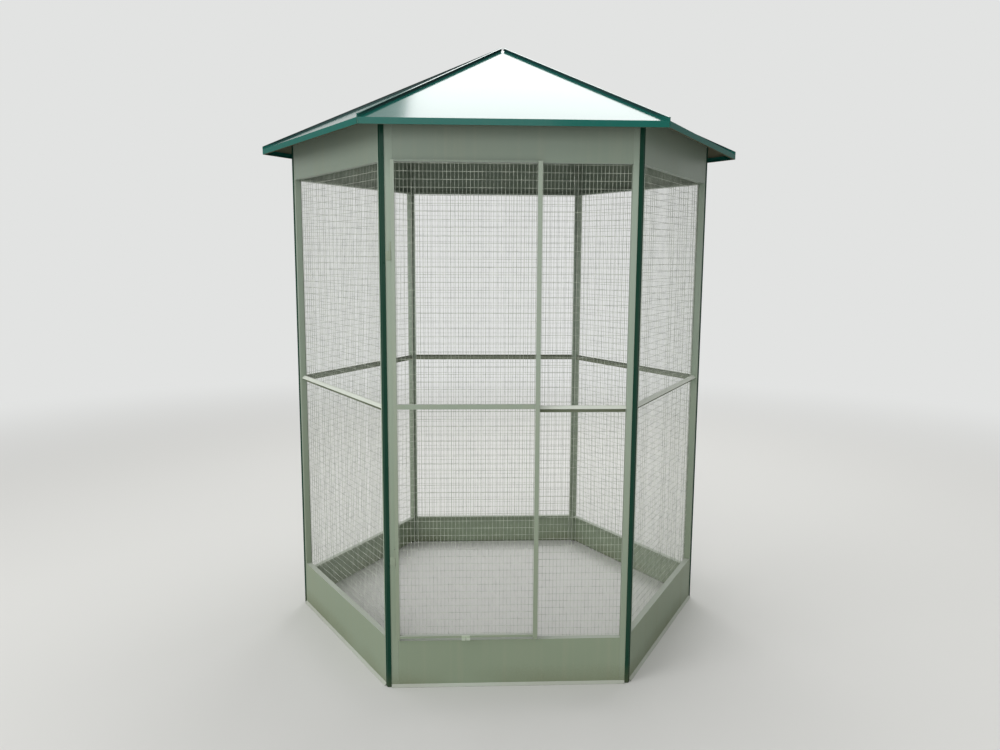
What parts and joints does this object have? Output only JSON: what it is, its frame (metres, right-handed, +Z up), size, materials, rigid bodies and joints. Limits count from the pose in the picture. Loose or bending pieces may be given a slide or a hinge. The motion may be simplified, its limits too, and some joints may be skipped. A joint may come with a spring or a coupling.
{
  "type": "hexagonal garden aviary",
  "caption": "Six-sided walk-up aviary of folded sheet and welded mesh, with a hinged front door, corner trims and a pyramid sheet roof.",
  "frame": {"origin": "on the ground, at the centre of the hexagon of walls", "axes": "+Z up; the front wall with the door faces -Y; +X to the right of someone who faces the door"},
  "size_m": [1.9374, 1.6792, 2.3275],
  "materials": {
    "kick_paint": "sage green baked paint, satin",
    "band_paint": "grey-green baked paint, satin",
    "stile_paint": "pale grey-green baked paint, satin",
    "rail_paint": "pale grey-green baked paint, satin",
    "mesh_wire": "welded wire mesh, galvanised",
    "trim_paint": "dark green paint, satin",
    "roof_paint": "dark green paint, glossy",
    "door_paint": "pale sage green baked paint, satin",
    "lug_metal": "pale painted sheet, satin",
    "hinge_paint": "pale grey-green paint, satin"
  },
  "bodies": {
    "cage": {"front_kick_plate": "kick_paint", "right_front_kick_plate": "kick_paint", "right_back_kick_plate": "kick_paint", "back_kick_plate": "kick_paint", "left_back_kick_plate": "kick_paint", "left_front_kick_plate": "kick_paint", "front_top_band": "band_paint", "right_front_top_band": "band_paint", "right_back_top_band": "band_paint", "back_top_band": "band_paint", "left_back_top_band": "band_paint", "left_front_top_band": "band_paint", "front_left_stile": "stile_paint", "front_right_stile": "stile_paint", "right_front_left_stile": "stile_paint", "right_front_right_stile": "stile_paint", "right_back_left_stile": "stile_paint", "right_back_right_stile": "stile_paint", "back_left_stile": "stile_paint", "back_right_stile": "stile_paint", "left_back_left_stile": "stile_paint", "left_back_right_stile": "stile_paint", "left_front_left_stile": "stile_paint", "left_front_right_stile": "stile_paint", "front_door_post": "stile_paint", "front_mid_rail": "rail_paint", "right_front_mid_rail": "rail_paint", "right_back_mid_rail": "rail_paint", "back_mid_rail": "rail_paint", "left_back_mid_rail": "rail_paint", "left_front_mid_rail": "rail_paint", "front_mesh": "mesh_wire", "right_front_mesh": "mesh_wire", "right_back_mesh": "mesh_wire", "back_mesh": "mesh_wire", "left_back_mesh": "mesh_wire", "left_front_mesh": "mesh_wire", "front_right_corner_trim": "trim_paint", "right_corner_trim": "trim_paint", "back_right_corner_trim": "trim_paint", "back_left_corner_trim": "trim_paint", "left_corner_trim": "trim_paint", "front_left_corner_trim": "trim_paint", "front_roof_panel": "roof_paint", "right_front_roof_panel": "roof_paint", "right_back_roof_panel": "roof_paint", "back_roof_panel": "roof_paint", "left_back_roof_panel": "roof_paint", "left_front_roof_panel": "roof_paint", "lower_hinge_fixed_half": "hinge_paint", "upper_hinge_fixed_half": "hinge_paint"},
    "door": {"door_hinge_stile": "door_paint", "door_latch_stile": "door_paint", "door_mid_rail": "door_paint", "door_bottom_rail": "door_paint", "door_pull_lug": "lug_metal", "door_top_rail": "band_paint", "door_mesh": "mesh_wire", "lower_hinge_door_half": "hinge_paint", "upper_hinge_door_half": "hinge_paint"}
  },
  "joints": [
    {"name": "door_swing", "type": "hinge", "parent": "cage", "child": "door", "pos_m": [-0.3958, -0.74542, 0.9], "axis": [0, 0, -1], "range_deg": [0, 165]}
  ]
}
